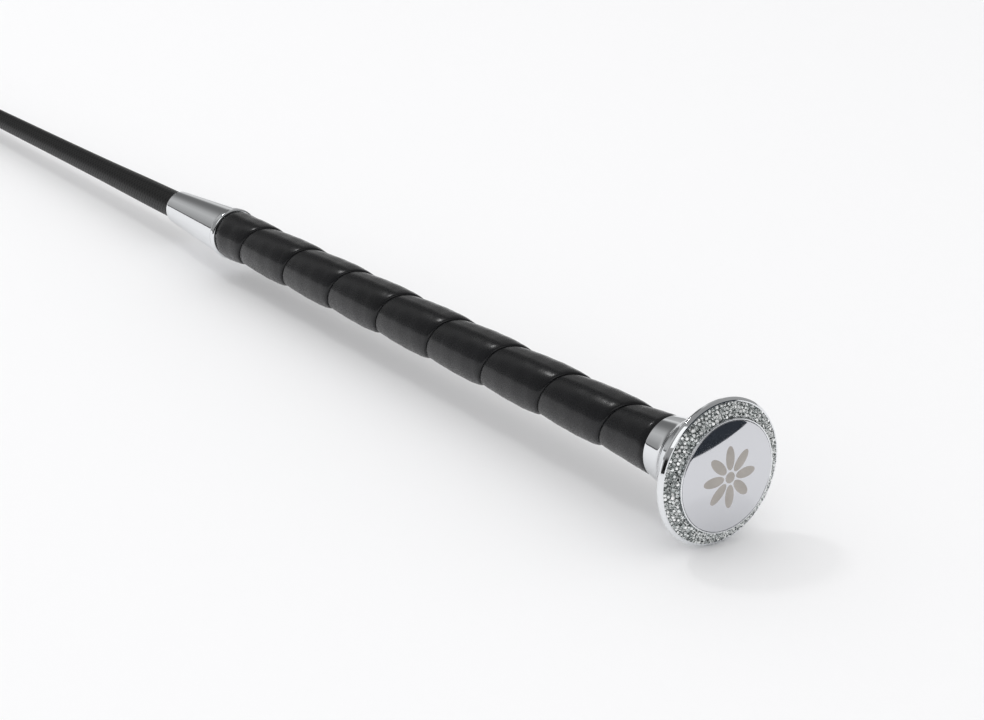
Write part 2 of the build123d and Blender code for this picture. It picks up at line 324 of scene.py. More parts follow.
@dataclass(frozen=True)
class Finish:
    """A real surface finish. Sub-classes add what its making leaves on it."""

    name: str
    colour: str
    metallic: float = 0.0
    roughness: float = 0.4
    specular: float = 0.5
    coat: float = 0.0
    coat_roughness: float = 0.05
    sheen: float = 0.0

    def material(self) -> bpy.types.Material:
        """Return this finish's material, made once."""
        if self.name not in _MATERIALS:
            material = bpy.data.materials.new(self.name)
            material.use_nodes = True
            tree = material.node_tree
            tree.nodes.clear()
            shader = add_node(tree, "ShaderNodeBsdfPrincipled", values={
                "Base Color": linear(self.colour), "Metallic": self.metallic,
                "Roughness": self.roughness, "Specular IOR Level": self.specular,
                "Coat Weight": self.coat, "Coat Roughness": self.coat_roughness,
                "Sheen Weight": self.sheen})
            add_node(tree, "ShaderNodeOutputMaterial", links={"Surface": shader.outputs["BSDF"]})
            self.detail(tree, shader)
            _MATERIALS[self.name] = material
        return _MATERIALS[self.name]

    def place(self, tree: bpy.types.NodeTree, grain_mm: tuple[float, float, float]) -> bpy.types.NodeSocket:
        """Scale the object's own coordinates so that one unit is one grain.

        Args:
            tree: The material's nodes.
            grain_mm: Grain size along each axis in millimetres.

        Returns:
            The scaled coordinate.
        """
        where = add_node(tree, "ShaderNodeTexCoord")
        scale = tuple(1.0 / (size * MM) for size in grain_mm)
        mapping = add_node(tree, "ShaderNodeMapping", values={"Scale": scale},
                           links={"Vector": where.outputs["Object"]})
        return mapping.outputs["Vector"]

    def spread(self, tree: bpy.types.NodeTree, source: bpy.types.NodeSocket, low: float,
               high: float, source_low: float = 0.3, source_high: float = 0.7) -> bpy.types.NodeSocket:
        """Map a pattern's usual range onto a range of values.

        Args:
            tree: The material's nodes.
            source: The pattern's output.
            low: Result at source_low.
            high: Result at source_high.
            source_low: Pattern value that gives low.
            source_high: Pattern value that gives high.

        Returns:
            The mapped value.
        """
        node = add_node(tree, "ShaderNodeMapRange", links={"Value": source}, values={
            "From Min": source_low, "From Max": source_high, "To Min": low, "To Max": high})
        return node.outputs["Result"]

    def detail(self, tree: bpy.types.NodeTree, shader: bpy.types.Node) -> None:
        """Add what this finish shows close up. The plain finish adds a faint mottle.

        Args:
            tree: The material's nodes.
            shader: The material's shader.
        """
        noise = add_node(tree, "ShaderNodeTexNoise", values={"Scale": 1.0, "Detail": 3.0},
                         links={"Vector": self.place(tree, (2.0, 2.0, 2.0))})
        tree.links.new(self.spread(tree, noise.outputs["Fac"], self.roughness * 0.85,
                                   min(1.0, self.roughness * 1.2)), shader.inputs["Roughness"])


@dataclass(frozen=True)
class PolishedChrome(Finish):
    """Chromium plate over a turned, buffed casting: mirror bright, with faint buffing haze."""

    haze_mm: float = 5.0
    buffing_mm: float = 0.25

    def detail(self, tree: bpy.types.NodeTree, shader: bpy.types.Node) -> None:
        """Add handling haze and hair-fine buffing lines round the axis.

        Args:
            tree: The material's nodes.
            shader: The material's shader.
        """
        haze = add_node(tree, "ShaderNodeTexNoise", values={"Scale": 1.0, "Detail": 4.0, "Roughness": 0.6},
                        links={"Vector": self.place(tree, (self.haze_mm,) * 3)})
        tree.links.new(self.spread(tree, haze.outputs["Fac"], self.roughness * 0.6, self.roughness * 1.8),
                       shader.inputs["Roughness"])
        lines = add_node(tree, "ShaderNodeTexNoise", values={"Scale": 1.0, "Detail": 2.0},
                         links={"Vector": self.place(tree, (self.buffing_mm, 6.0, 6.0))})
        bump = add_node(tree, "ShaderNodeBump", values={"Strength": 0.06, "Distance": 0.00002},
                        links={"Height": lines.outputs["Fac"]})
        tree.links.new(bump.outputs["Normal"], shader.inputs["Normal"])


@dataclass(frozen=True)
class SatinInlay(Finish):
    """Etched and filled metal: matt warm grey with a fine pickled grain."""

    grain_mm: float = 0.12

    def detail(self, tree: bpy.types.NodeTree, shader: bpy.types.Node) -> None:
        """Add the etch's grain to the colour and the surface.

        Args:
            tree: The material's nodes.
            shader: The material's shader.
        """
        grain = add_node(tree, "ShaderNodeTexNoise", values={"Scale": 1.0, "Detail": 3.0},
                         links={"Vector": self.place(tree, (self.grain_mm,) * 3)})
        patch = add_node(tree, "ShaderNodeTexNoise", values={"Scale": 1.0, "Detail": 1.0},
                         links={"Vector": self.place(tree, (5.0,) * 3)})
        mix = add_node(tree, "ShaderNodeMix", settings={"data_type": "RGBA"},
                       values={"A": linear("#a29d97"), "B": linear(self.colour)},
                       links={"Factor": patch.outputs["Fac"]})
        tree.links.new(mix.outputs["Result"], shader.inputs["Base Color"])
        bump = add_node(tree, "ShaderNodeBump", values={"Strength": 0.25, "Distance": 0.00001},
                        links={"Height": grain.outputs["Fac"]})
        tree.links.new(bump.outputs["Normal"], shader.inputs["Normal"])


@dataclass(frozen=True)
class FoiledCrystal(Finish):
    """Cut glass on silver foil, with painted reflections in its colour.

    The foil makes a stone read as a small broken mirror, so the facets are bright metal under a
    clear glass coat, and each facet's base colour is a painted reflection: a brightness from near
    black to white that stands in for the part of the room that the facet would throw back.
    """

    tones: tuple[tuple[float, str], ...] = ((0.0, "#1c2020"), (0.14, "#4e5655"), (0.34, "#a3aaa9"),
                                            (0.6, "#e6eae9"), (1.0, "#ffffff"))

    def detail(self, tree: bpy.types.NodeTree, shader: bpy.types.Node) -> None:
        """Colour each facet by its painted reflection level.

        Args:
            tree: The material's nodes.
            shader: The material's shader.
        """
        # painted reflections: each facet's stored level picks a base colour from near black to white
        tone = add_node(tree, "ShaderNodeAttribute", settings={"attribute_name": "facet_tone"})
        ramp = add_node(tree, "ShaderNodeValToRGB", links={"Fac": tone.outputs["Fac"]})
        steps = ramp.color_ramp.elements
        while len(steps) < len(self.tones):
            steps.new(1.0)
        for step, (position, colour) in zip(steps, self.tones):
            step.position = position
            step.color = linear(colour)
        tree.links.new(ramp.outputs["Color"], shader.inputs["Base Color"])


@dataclass(frozen=True)
class GrainLeather(Finish):
    """Drum-dyed leather with a pebbled grain, rubbed and waxed: dark, with a soft broken gloss."""

    pebble_mm: float = 0.75
    pore_mm: float = 0.22
    relief_mm: float = 0.05
    worn: str = "#34353a"

    def detail(self, tree: bpy.types.NodeTree, shader: bpy.types.Node) -> None:
        """Add pebbled grain, pores, dye variation and a polish that sits on the grain's tops.

        Args:
            tree: The material's nodes.
            shader: The material's shader.
        """
        warp = add_node(tree, "ShaderNodeTexNoise", values={"Scale": 0.6, "Detail": 2.0},
                        links={"Vector": self.place(tree, (self.pebble_mm,) * 3)})
        shifted = add_node(tree, "ShaderNodeVectorMath", settings={"operation": "MULTIPLY_ADD"},
                           values={1: (0.9, 0.9, 0.9)},
                           links={0: warp.outputs["Color"], 2: self.place(tree, (self.pebble_mm,) * 3)})
        pebbles = add_node(tree, "ShaderNodeTexVoronoi", settings={"feature": "DISTANCE_TO_EDGE"},
                           values={"Scale": 1.0}, links={"Vector": shifted.outputs["Vector"]})
        tops = self.spread(tree, pebbles.outputs["Distance"], 0.0, 1.0, 0.0, 0.28)
        pores = add_node(tree, "ShaderNodeTexNoise", values={"Scale": 1.0, "Detail": 3.0, "Roughness": 0.65},
                         links={"Vector": self.place(tree, (self.pore_mm,) * 3)})
        height = add_node(tree, "ShaderNodeMath", settings={"operation": "MULTIPLY_ADD"},
                          values={1: 0.35}, links={0: pores.outputs["Fac"], 2: tops})
        bump = add_node(tree, "ShaderNodeBump", values={"Strength": 0.55, "Distance": self.relief_mm * MM},
                        links={"Height": height.outputs["Value"]})
        tree.links.new(bump.outputs["Normal"], shader.inputs["Normal"])
        dye = add_node(tree, "ShaderNodeTexNoise", values={"Scale": 1.0, "Detail": 4.0},
                       links={"Vector": self.place(tree, (9.0, 9.0, 9.0))})
        mix = add_node(tree, "ShaderNodeMix", settings={"data_type": "RGBA"},
                       values={"A": linear(self.colour), "B": linear(self.worn)},
                       links={"Factor": self.spread(tree, dye.outputs["Fac"], 0.0, 0.45)})
        tree.links.new(mix.outputs["Result"], shader.inputs["Base Color"])
        gloss = add_node(tree, "ShaderNodeMath", settings={"operation": "MULTIPLY_ADD"},
                         values={1: -0.14, 2: self.roughness + 0.1}, links={0: tops})
        tree.links.new(gloss.outputs["Value"], shader.inputs["Roughness"])


@dataclass(frozen=True)
class LacqueredBraid(Finish):
    """Braided polyester over the rod, soaked in matt lacquer: black, with a faint diamond weave."""

    strands_round: float = 12.0
    relief_mm: float = 0.06

    def detail(self, tree: bpy.types.NodeTree, shader: bpy.types.Node) -> None:
        """Cross two families of strands that spiral opposite ways round the shaft.

        The piece's own map runs once round the shaft in U and 25 mm along it in V.

        Args:
            tree: The material's nodes.
            shader: The material's shader.
        """
        surface = add_node(tree, "ShaderNodeUVMap", settings={"uv_map": "surface"})
        parts = add_node(tree, "ShaderNodeSeparateXYZ", links={"Vector": surface.outputs["UV"]})
        strands = []
        for along in (self.strands_round, -self.strands_round):
            turned = add_node(tree, "ShaderNodeMath", settings={"operation": "MULTIPLY"},
                              values={1: self.strands_round * TURN}, links={0: parts.outputs["X"]})
            phase = add_node(tree, "ShaderNodeMath", settings={"operation": "MULTIPLY_ADD"},
                             values={1: along * TURN * 1.15},
                             links={0: parts.outputs["Y"], 2: turned.outputs["Value"]})
            wave = add_node(tree, "ShaderNodeMath", settings={"operation": "SINE"},
                            links={0: phase.outputs["Value"]})
            strands.append(wave.outputs["Value"])
        weave = add_node(tree, "ShaderNodeMath", settings={"operation": "MAXIMUM"},
                         links={0: strands[0], 1: strands[1]})
        fuzz = add_node(tree, "ShaderNodeTexNoise", values={"Scale": 1.0, "Detail": 3.0},
                        links={"Vector": self.place(tree, (0.3, 0.3, 0.3))})
        height = add_node(tree, "ShaderNodeMath", settings={"operation": "MULTIPLY_ADD"},
                          values={1: 0.5}, links={0: fuzz.outputs["Fac"], 2: weave.outputs["Value"]})
        bump = add_node(tree, "ShaderNodeBump", values={"Strength": 0.35, "Distance": self.relief_mm * MM},
                        links={"Height": height.outputs["Value"]})
        tree.links.new(bump.outputs["Normal"], shader.inputs["Normal"])
        tree.links.new(self.spread(tree, weave.outputs["Value"], self.roughness + 0.1, self.roughness - 0.05,
                                   0.0, 1.0), shader.inputs["Roughness"])


@dataclass(frozen=True)
class WaxedThread(Finish):
    """Twisted polyester thread drawn through wax: dark, with the twist just showing."""

    twist_mm: float = 0.35

    def detail(self, tree: bpy.types.NodeTree, shader: bpy.types.Node) -> None:
        """Add the twist of the plies as a slanted fine ripple.

        Args:
            tree: The material's nodes.
            shader: The material's shader.
        """
        ripple = add_node(tree, "ShaderNodeTexWave", settings={"bands_direction": "DIAGONAL"},
                          values={"Scale": 0.35, "Distortion": 1.2, "Detail": 2.0},
                          links={"Vector": self.place(tree, (self.twist_mm,) * 3)})
        bump = add_node(tree, "ShaderNodeBump", values={"Strength": 0.4, "Distance": 0.00004},
                        links={"Height": ripple.outputs["Fac"]})
        tree.links.new(bump.outputs["Normal"], shader.inputs["Normal"])
        tree.links.new(self.spread(tree, ripple.outputs["Fac"], self.roughness - 0.08, self.roughness + 0.1),
                       shader.inputs["Roughness"])


CHROME = PolishedChrome("chromium_plate_buffed", "#e9ebed", metallic=1.0, roughness=0.045)
MIRROR = PolishedChrome("stainless_mirror_polished", "#d5d6da", metallic=1.0, roughness=0.03)
INLAY = SatinInlay("etched_satin_inlay", "#b8b3ae", metallic=0.25, roughness=0.5)
# the stones' facet colours carry painted reflections
CRYSTAL = FoiledCrystal("cut_glass_painted_reflections", "#c9cfcd", metallic=0.4, roughness=0.1, coat=1.0,
                        coat_roughness=0.02)
RESIN = Finish("setting_resin_grey", "#7b8080", roughness=0.3, metallic=0.4)
GRIP_LEATHER = GrainLeather("grained_leather_black", "#08090d", roughness=0.27, specular=0.3,
                            coat=0.2, coat_roughness=0.17, relief_mm=0.014, worn="#0e0f15")
KEEPER_LEATHER = GrainLeather("bridle_leather_black", "#0b0b0d", roughness=0.34, specular=0.35,
                              pebble_mm=0.5, relief_mm=0.02, worn="#151517")
BRAID = LacqueredBraid("lacquered_braid_black", "#050607", roughness=0.42, specular=0.3)
WHIPPING = WaxedThread("waxed_whipping_black", "#0e0e10", roughness=0.5)
STITCH = WaxedThread("waxed_stitch_thread", "#2a2a2d", roughness=0.55, twist_mm=0.25)
HIDDEN = {
    "screw_steel": Finish("zinc_plated_steel", "#a3a6a8", metallic=1.0, roughness=0.35),
    "adhesive_foam": Finish("adhesive_foam_pad", "#232323", roughness=0.8),
    "stone_resin": RESIN,
    "fibreglass": Finish("pultruded_glass_fibre_black", "#1b1c1e", roughness=0.35),
    "handle_nylon": Finish("moulded_nylon", "#262627", roughness=0.45),
    "padding_foam": Finish("foam_underlay", "#2b2b2c", roughness=0.85, sheen=0.1),
    "binding_thread": WaxedThread("binding_thread_grey", "#3a3a3a", roughness=0.6)}


# ----------------------------------------------------------------------------- windings


@dataclass
class Winding:
    """A strip or thread wound on a round core, edge against edge, as one closed ribbon."""

    name: str
    first_station: float
    last_station: float
    pitch: float
    phase_station: float
    gap: float
    steps_per_turn: int
    across: int
    lay: Lay = Lay.LEFT_HAND
    wander: float = 0.0
    wander_bearing_deg: float = 0.0
    cut_tip: float = 0.03

    def outer_radius(self, station: np.ndarray, across: np.ndarray) -> np.ndarray:
        """Radius of the ribbon's outside. Sub-classes give its shape.

        Args:
            station: Station of each point.
            across: Place across the ribbon, from 0 to 1.

        Returns:
            Radius of each point in millimetres.
        """
        raise NotImplementedError

    def inner_radius(self, station: np.ndarray) -> np.ndarray:
        """Radius of the ribbon's inside, which lies on the core.

        Args:
            station: Station of each point.

        Returns:
            Radius of each point in millimetres.
        """
        raise NotImplementedError

    def build(self) -> bpy.types.Object:
        """Wind the ribbon.

        At winding angle a the ribbon's first edge is at the phase station plus pitch times a over a
        full turn, less the wander times the sine of the angle past its bearing, as a hand-wound
        strip lies steeper on one side. It is one pitch wide. Where that passes the first or last
        station the ribbon is cut along a circle, so it runs out to a point as a cut strip does.

        Returns:
            The wound piece.
        """
        low_turn = math.floor((self.first_station - self.phase_station) / self.pitch) - 1
        high_turn = math.ceil((self.last_station - self.phase_station) / self.pitch) + 1
        steps = (high_turn - low_turn) * self.steps_per_turn
        angle = TURN * np.linspace(low_turn, high_turn, steps + 1)
        lag = self.wander * np.sin(angle - math.radians(self.wander_bearing_deg))
        edge = self.phase_station + self.pitch * angle / TURN - lag
        start = np.clip((self.first_station - edge) / self.pitch, 0.0, 1.0)
        end = np.clip((self.last_station - edge) / self.pitch, 0.0, 1.0)
        kept = end - start > self.cut_tip
        angle, edge, start, end = angle[kept], edge[kept], start[kept], end[kept]
        ease = 0.5 - 0.5 * np.cos(np.linspace(0.0, math.pi, self.across))
        inner_count = max(3, self.across // 4)
        out_place = start[:, None] + (end - start)[:, None] * ease
        in_place = start[:, None] + (end - start)[:, None] * np.linspace(1.0, 0.0, inner_count)
        margin = 0.5 * self.gap / self.pitch
        place = np.clip(np.concatenate([out_place, in_place], 1), margin, 1.0 - margin)
        station = edge[:, None] + self.pitch * place
        outside = self.outer_radius(station[:, :self.across], place[:, :self.across])
        radius = np.concatenate([outside, self.inner_radius(station[:, self.across:])], 1)
        turned = self.lay.value * np.broadcast_to(angle[:, None], station.shape)
        points = np.stack([-station, -radius * np.sin(turned), radius * np.cos(turned)], -1)
        rows, columns = station.shape
        uv = np.stack([np.broadcast_to(angle[:, None] / TURN, station.shape), place], -1)
        caps = [np.arange(columns), (rows - 1) * columns + np.arange(columns)]
        cap_faces = []
        for cap in caps:
            cap_faces.append(np.stack([np.full(columns - 2, cap[0]), cap[1:-1], cap[2:]], -1))
        cap_faces[0] = cap_faces[0][:, ::-1]
        return make_piece(self.name, points.reshape(-1, 3), grid_faces(rows, columns, False, True),
                          np.concatenate(cap_faces), uv=uv.reshape(-1, 2), crease_deg=50.0)


@dataclass
class GripLeather(Winding):
    """The grip's padded leather strip: each turn swells between its seams."""

    crest: float = 7.68
    seam: float = 6.8
    tucked: float = 6.74
    padded_core: float = 6.71
    bare_core: float = 6.31
    shoulder_rise: float = 0.62
    shoulder_length: float = 13.0
    mouth_rise: float = 0.42
    mouth_length: float = 9.0
    edge_round: float = 0.3
    fullness: float = 0.42
    neck_end: float = 22.4
    ferrule_start: float = 231.5
    pad_start: float = 23.2
    pad_end: float = 226.2

    def swell(self, station: np.ndarray) -> np.ndarray:
        """How far the leather has filled out: 0 where it is bound down, 1 over the padding.

        Args:
            station: Station of each point.

        Returns:
            Fill of each point.
        """
        rise = smoothstep(self.neck_end - 0.8, self.neck_end + 0.9, station)
        fall = 1.0 - smoothstep(self.ferrule_start - 1.0, self.ferrule_start + 0.6, station)
        return rise * fall

    def outer_radius(self, station: np.ndarray, across: np.ndarray) -> np.ndarray:
        """Pillow section: the seam's radius plus a crown, less the rounding at each edge.

        The place across is raised to a power under one, which moves the turn's fullest point towards
        its cap-side edge. The crown is one minus the squared distance from that point, so the
        turn is round on top and drops quickly into its seams. Next to the neck the leather lies
        on a thicker underlay, and it fills the ferrule's mouth. Slow waves make the turns uneven.

        Args:
            station: Station of each point.
            across: Place across the strip.

        Returns:
            Radius of each point.
        """
        leaning = np.clip(across, 0.0, 1.0) ** (1.0 - self.fullness)
        crown = np.clip(1.0 - (2.0 * leaning - 1.0) ** 2, 0.0, 1.0) ** 0.75
        fill = self.swell(station)
        near_neck = 1.0 - smoothstep(self.neck_end, self.neck_end + self.shoulder_length, station)
        uneven = 0.035 * np.sin(station * 0.83 + 1.0) + 0.025 * np.sin(station * 1.9 + across * 5.0)
        near_mouth = smoothstep(self.ferrule_start - self.mouth_length, self.ferrule_start - 1.5, station)
        rise = (self.crest - self.seam) * (1.0 - 0.25 * near_neck - 0.3 * near_mouth)
        body = self.seam + self.shoulder_rise * near_neck + self.mouth_rise * near_mouth
        body = body + (rise + uneven) * crown
        depth = np.minimum(across, 1.0 - across) * self.pitch
        inside = np.clip(self.edge_round - depth, 0.0, self.edge_round)
        body = body - (self.edge_round - np.sqrt(self.edge_round ** 2 - inside ** 2))
        return self.tucked + (body - self.tucked) * fill

    def inner_radius(self, station: np.ndarray) -> np.ndarray:
        """Lie on the padding, and on the bare handle core at both ends.

        Args:
            station: Station of each point.

        Returns:
            Radius of each point.
        """
        on_pad = smoothstep(self.pad_start - 0.5, self.pad_start + 2.2, station)
        off_pad = 1.0 - smoothstep(self.pad_end - 2.2, self.pad_end + 0.5, station)
        return self.bare_core + (self.padded_core - self.bare_core) * on_pad * off_pad


@dataclass
class ThreadWhipping(Winding):
    """Close turns of round thread on the keeper's tails."""

    core: float = 3.22
    crest: float = 3.9

    def outer_radius(self, station: np.ndarray, across: np.ndarray) -> np.ndarray:
        """Round section: a half ellipse from seam to seam.

        Args:
            station: Station of each point.
            across: Place across the thread.

        Returns:
            Radius of each point.
        """
        valley = self.crest - 0.45 * self.pitch
        return valley + (self.crest - valley) * np.sqrt(np.clip(1.0 - (2.0 * across - 1.0) ** 2, 0.0, 1.0))

    def inner_radius(self, station: np.ndarray) -> np.ndarray:
        """Lie on the tails.

        Args:
            station: Station of each point.

        Returns:
            Radius of each point.
        """
        return np.full_like(station, self.core)


# ----------------------------------------------------------------------------- sub-assemblies


@dataclass
class MushroomCap:
    """The chromed cap with its domed disc, inlaid rosette and ring of stones."""

    recess: float = 2.6
    lip_inner: float = 14.2
    lip_outer: float = 14.6
    lip_crest: float = 0.95
    groove_outer: float = 17.95
    groove_floor: float = 4.2
    bezel_crest: float = 3.25
    bezel_outer: float = 18.4
    rim_widest: float = 4.15
    rim_back: float = 4.85
    rim_radius: float = 18.9
    trumpet_station: float = 15.4
    trumpet_radius: float = 9.52
    trumpet_round: float = 5.0
    neck_end: float = 22.4
    neck_radius: float = 8.3
    socket: float = 7.0
    web: float = 7.0
    dome: float = 112.0
    disc_back: float = 2.2
    petals: int = 8
    petal_half_length: float = 3.1
    petal_half_width: float = 1.35
    petal_centre: float = 5.0
    heart: float = 1.45
    inlay_depth: float = 0.15
    inlay_proud: float = 0.012
    inlay_rings: int = 10
    inlay_segments: int = 48
    bed_front: float = 1.75
    bed_back: float = 3.68
    stone_rows: tuple[float, ...] = (15.07, 15.88, 16.68, 17.48)
    stones_per_row: int = 92
    stone_radius: float = 0.58
    stone_height: float = 0.5
    stone_sides: int = 8
    stone_drift: float = 0.1
    stone_slide: float = 0.14
    stone_lean: float = 0.24
    stone_seed: int = 7

    def sag(self, radius: np.ndarray) -> np.ndarray:
        """Depth of the dome below its crown: R less the root of R squared less r squared.

        Args:
            radius: Distance from the axis.

        Returns:
            Depth in millimetres.
        """
        return self.dome - np.sqrt(self.dome ** 2 - np.asarray(radius, dtype=float) ** 2)

    def build_shell(self) -> None:
        """Turn the shell: bezel, rounded rim, trumpet back with its fillet, and the hollow neck."""
        outline = rounded_outline([
            (self.recess, 0.0, 0.0), (self.recess, self.lip_outer, 0.05),
            (self.groove_floor, self.groove_outer, 0.05), (self.bezel_crest, self.groove_outer, 0.12),
            (self.bezel_crest + 0.12, self.bezel_outer, 0.14),
            (self.rim_widest, self.rim_radius + 0.02, 0.5), (self.rim_back, self.rim_radius - 0.15, 0.25),
            (self.trumpet_station, self.trumpet_radius, self.trumpet_round),
            (self.neck_end, self.neck_radius, 0.22), (self.neck_end, self.socket, 0.08),
            (self.web, self.socket, 0.4), (self.web, 0.0, 0.0)], steps=12)
        piece = lathe("cap_shell_bright", refined(outline, 0.6), segments=256)
        dress(piece, CHROME, "chrome", CROP_BODY, "cap_shell")

    def build_ring(self) -> None:
        """Turn the thin lip that holds the disc."""
        outline = rounded_outline([
            (self.recess, self.lip_inner, 0.0), (self.lip_crest, self.lip_inner, 0.16),
            (self.lip_crest, self.lip_outer, 0.16), (self.recess, self.lip_outer, 0.0)], steps=8)
        dress(lathe("face_lip_bright", outline, segments=256), CHROME, "chrome", CROP_BODY, "face_ring")

    def build_disc(self) -> None:
        """Turn the domed disc with its softened edge."""
        radius = np.linspace(0.0, self.lip_inner - 0.3, 48)
        dome = np.stack([self.sag(radius), radius], -1)
        edge_sag = float(self.sag(self.lip_inner))
        rest = rounded_outline([
            tuple(dome[-1]) + (0.0,), (edge_sag, self.lip_inner - 0.05, 0.2),
            (self.disc_back, self.lip_inner - 0.05, 0.15), (self.disc_back, 0.0, 0.0)], steps=8)
        outline = np.concatenate([dome, rest[1:]])
        dress(lathe("face_plate_mirror", outline, segments=256), MIRROR, "mirror_steel", CROP_BODY,
              "face_plate")

    def inlay_part(self, centre: float, half_length: float, half_width: float, turn: float) -> np.ndarray:
        """Points of one closed, thin inlay piece that follows the dome.

        An ellipse grid runs from its middle over the front to the edge and back under it. The depth
        of a point is the dome's sag at its distance from the axis.

        Args:
            centre: Distance of the ellipse's middle from the axis.
            half_length: Half axis along the ray from the axis.
            half_width: Half axis across that ray.
            turn: Angle of the ray.

        Returns:
            Points as rows by columns by three.
        """
        out = np.linspace(0.02, 1.0, self.inlay_rings)
        reach = np.concatenate([out, out[::-1]])[:, None]
        behind = np.repeat([0.0, 1.0], self.inlay_rings)[:, None]
        around = np.linspace(0.0, TURN, self.inlay_segments, endpoint=False)[None, :]
        along = centre + half_length * reach * np.cos(around)
        beside = half_width * reach * np.sin(around)
        y = along * math.cos(turn) - beside * math.sin(turn)
        z = along * math.sin(turn) + beside * math.cos(turn)
        depth = self.sag(np.hypot(y, z)) - self.inlay_proud + behind * self.inlay_depth
        return np.stack([-depth, y, z], -1)

    def build_inlay(self) -> None:
        """Lay round-ended petals about a small heart into the disc."""
        parts = [self.inlay_part(self.petal_centre, self.petal_half_length, self.petal_half_width,
                                 TURN * k / self.petals) for k in range(self.petals)]
        parts.append(self.inlay_part(0.0, self.heart, self.heart, 0.0))
        rows, columns = parts[0].shape[:2]
        quads, points = [], []
        for k, part in enumerate(parts):
            base = k * rows * columns
            quads.append(grid_faces(rows, columns, False, True) + base)
            points.append(part.reshape(-1, 3))
        caps = []
        column = np.arange(columns)
        for k in range(len(parts)):
            front = k * rows * columns + column
            back = front + (rows - 1) * columns
            caps.append(np.stack([np.full(columns - 2, front[0]), front[2:], front[1:-1]], -1))
            caps.append(np.stack([np.full(columns - 2, back[0]), back[1:-1], back[2:]], -1))
        piece = make_piece("face_rosette_inlay", np.concatenate(points), np.concatenate(quads),
                           np.concatenate(caps))
        dress(piece, INLAY, "satin_inlay", CROP_BODY, "face_emblem")

    def build_stones(self) -> None:
        """Set four rows of cut stones on the sloping bed.

        A stone is four rings of points: its foot, the girdle's upper edge, a waist turned by half a
        facet and the edge of a flat table. Its rings are carried to each seat by that seat's three
        axes: across, uphill and outwards. Seats are evenly spaced in a row, then jittered, tilted and
        turned by a seeded draw, as hand-set stones are.
        """
        draw = np.random.default_rng(self.stone_seed)
        slope = math.atan2(self.bed_back - self.bed_front, self.groove_outer - self.lip_outer)
        rows = np.array(self.stone_rows)
        count = self.stones_per_row
        ring = np.repeat(rows, count)
        angle = np.concatenate([TURN * (np.arange(count) + 0.5 * (k % 2)) / count for k in range(rows.size)])
        total = len(ring)
        ring = ring + draw.uniform(-self.stone_drift, self.stone_drift, total)
        angle = angle + draw.uniform(-self.stone_slide, self.stone_slide, total) / ring
        depth = self.bed_front + (ring - self.lip_outer) * math.tan(slope)
        radial = np.stack([np.zeros(total), -np.sin(angle), np.cos(angle)], -1)
        across = np.stack([np.zeros(total), np.cos(angle), np.sin(angle)], -1)
        forward = np.array([1.0, 0.0, 0.0])
        normal = math.cos(slope) * forward + math.sin(slope) * radial
        lean = draw.normal(0.0, self.stone_lean, (total, 2))
        uphill = np.cross(normal, across)
        normal = normal + lean[:, :1] * across + lean[:, 1:] * uphill
        normal /= np.linalg.norm(normal, axis=1)[:, None]
        across = np.cross(uphill, normal)
        across /= np.linalg.norm(across, axis=1)[:, None]
        uphill = np.cross(normal, across)
        sides = self.stone_sides
        ring_radius = np.array([1.0, 1.0, 0.84, 0.56])
        ring_height = np.array([-0.06, 0.14, 0.62, 1.0])
        ring_turn = np.array([0.0, 0.0, 0.5, 0.0])
        local_angle = TURN / sides * (np.arange(sides)[None, :] + ring_turn[:, None])
        spin = draw.uniform(0.0, TURN, total)[:, None, None]
        size = draw.uniform(0.86, 1.08, total)[:, None, None]
        tall = draw.uniform(0.85, 1.12, total)[:, None, None]
        reach = self.stone_radius * size * ring_radius[None, :, None]
        east = reach * np.cos(local_angle[None] + spin)
        north = reach * np.sin(local_angle[None] + spin)
        lift = np.broadcast_to(self.stone_height * tall * ring_height[None, :, None], east.shape)
        seat = -depth[:, None] * forward + ring[:, None] * radial
        points = (seat[:, None, None, :] + east[..., None] * across[:, None, None, :]
                  + north[..., None] * uphill[:, None, None, :] + lift[..., None] * normal[:, None, None, :])
        here = np.arange(sides)
        foot, edge, waist, crest = (here + sides * level for level in range(4))
        foot_on, edge_on, waist_on, crest_on = (np.roll(level, -1) for level in (foot, edge, waist, crest))
        girdle = np.stack([foot, foot_on, edge_on, edge], -1)
        crown = np.concatenate([
            np.stack([edge, edge_on, waist], -1), np.stack([waist, edge_on, waist_on], -1),
            np.stack([waist, waist_on, crest_on], -1), np.stack([crest, waist, crest_on], -1)])
        table = np.stack([np.full(sides - 2, crest[0]), crest[1:-1], crest[2:]], -1)
        floor = np.stack([np.full(sides - 2, foot[0]), foot[2:], foot[1:-1]], -1)
        one = np.concatenate([crown, table, floor])
        offset = (np.arange(total) * 4 * sides)[:, None, None]
        triangles = (one[None] + offset).reshape(-1, 3)
        quads = (girdle[None] + offset).reshape(-1, 4)
        piece = make_piece("set_stones", points.reshape(-1, 3), quads, triangles, crease_deg=0.0)
        # paint a reflection brightness into each facet's colour
        self.tone_facets(piece, total, (len(girdle), len(crown), len(table)), draw)
        dress(piece, CRYSTAL, "crystal_glass", CROP_BODY, "crystals")

    def tone_facets(self, piece: bpy.types.Object, total: int, faces: tuple[int, int, int],
                    draw: np.random.Generator) -> None:
        """Paint a reflection brightness into every facet, with one brightness over each flat table.

        Args:
            piece: The stones.
            total: Number of stones.
            faces: Girdle, crown and table faces of one stone. The foot has as many as the table.
            draw: Seeded source of the draws.
        """
        girdles, crowns, tables = faces
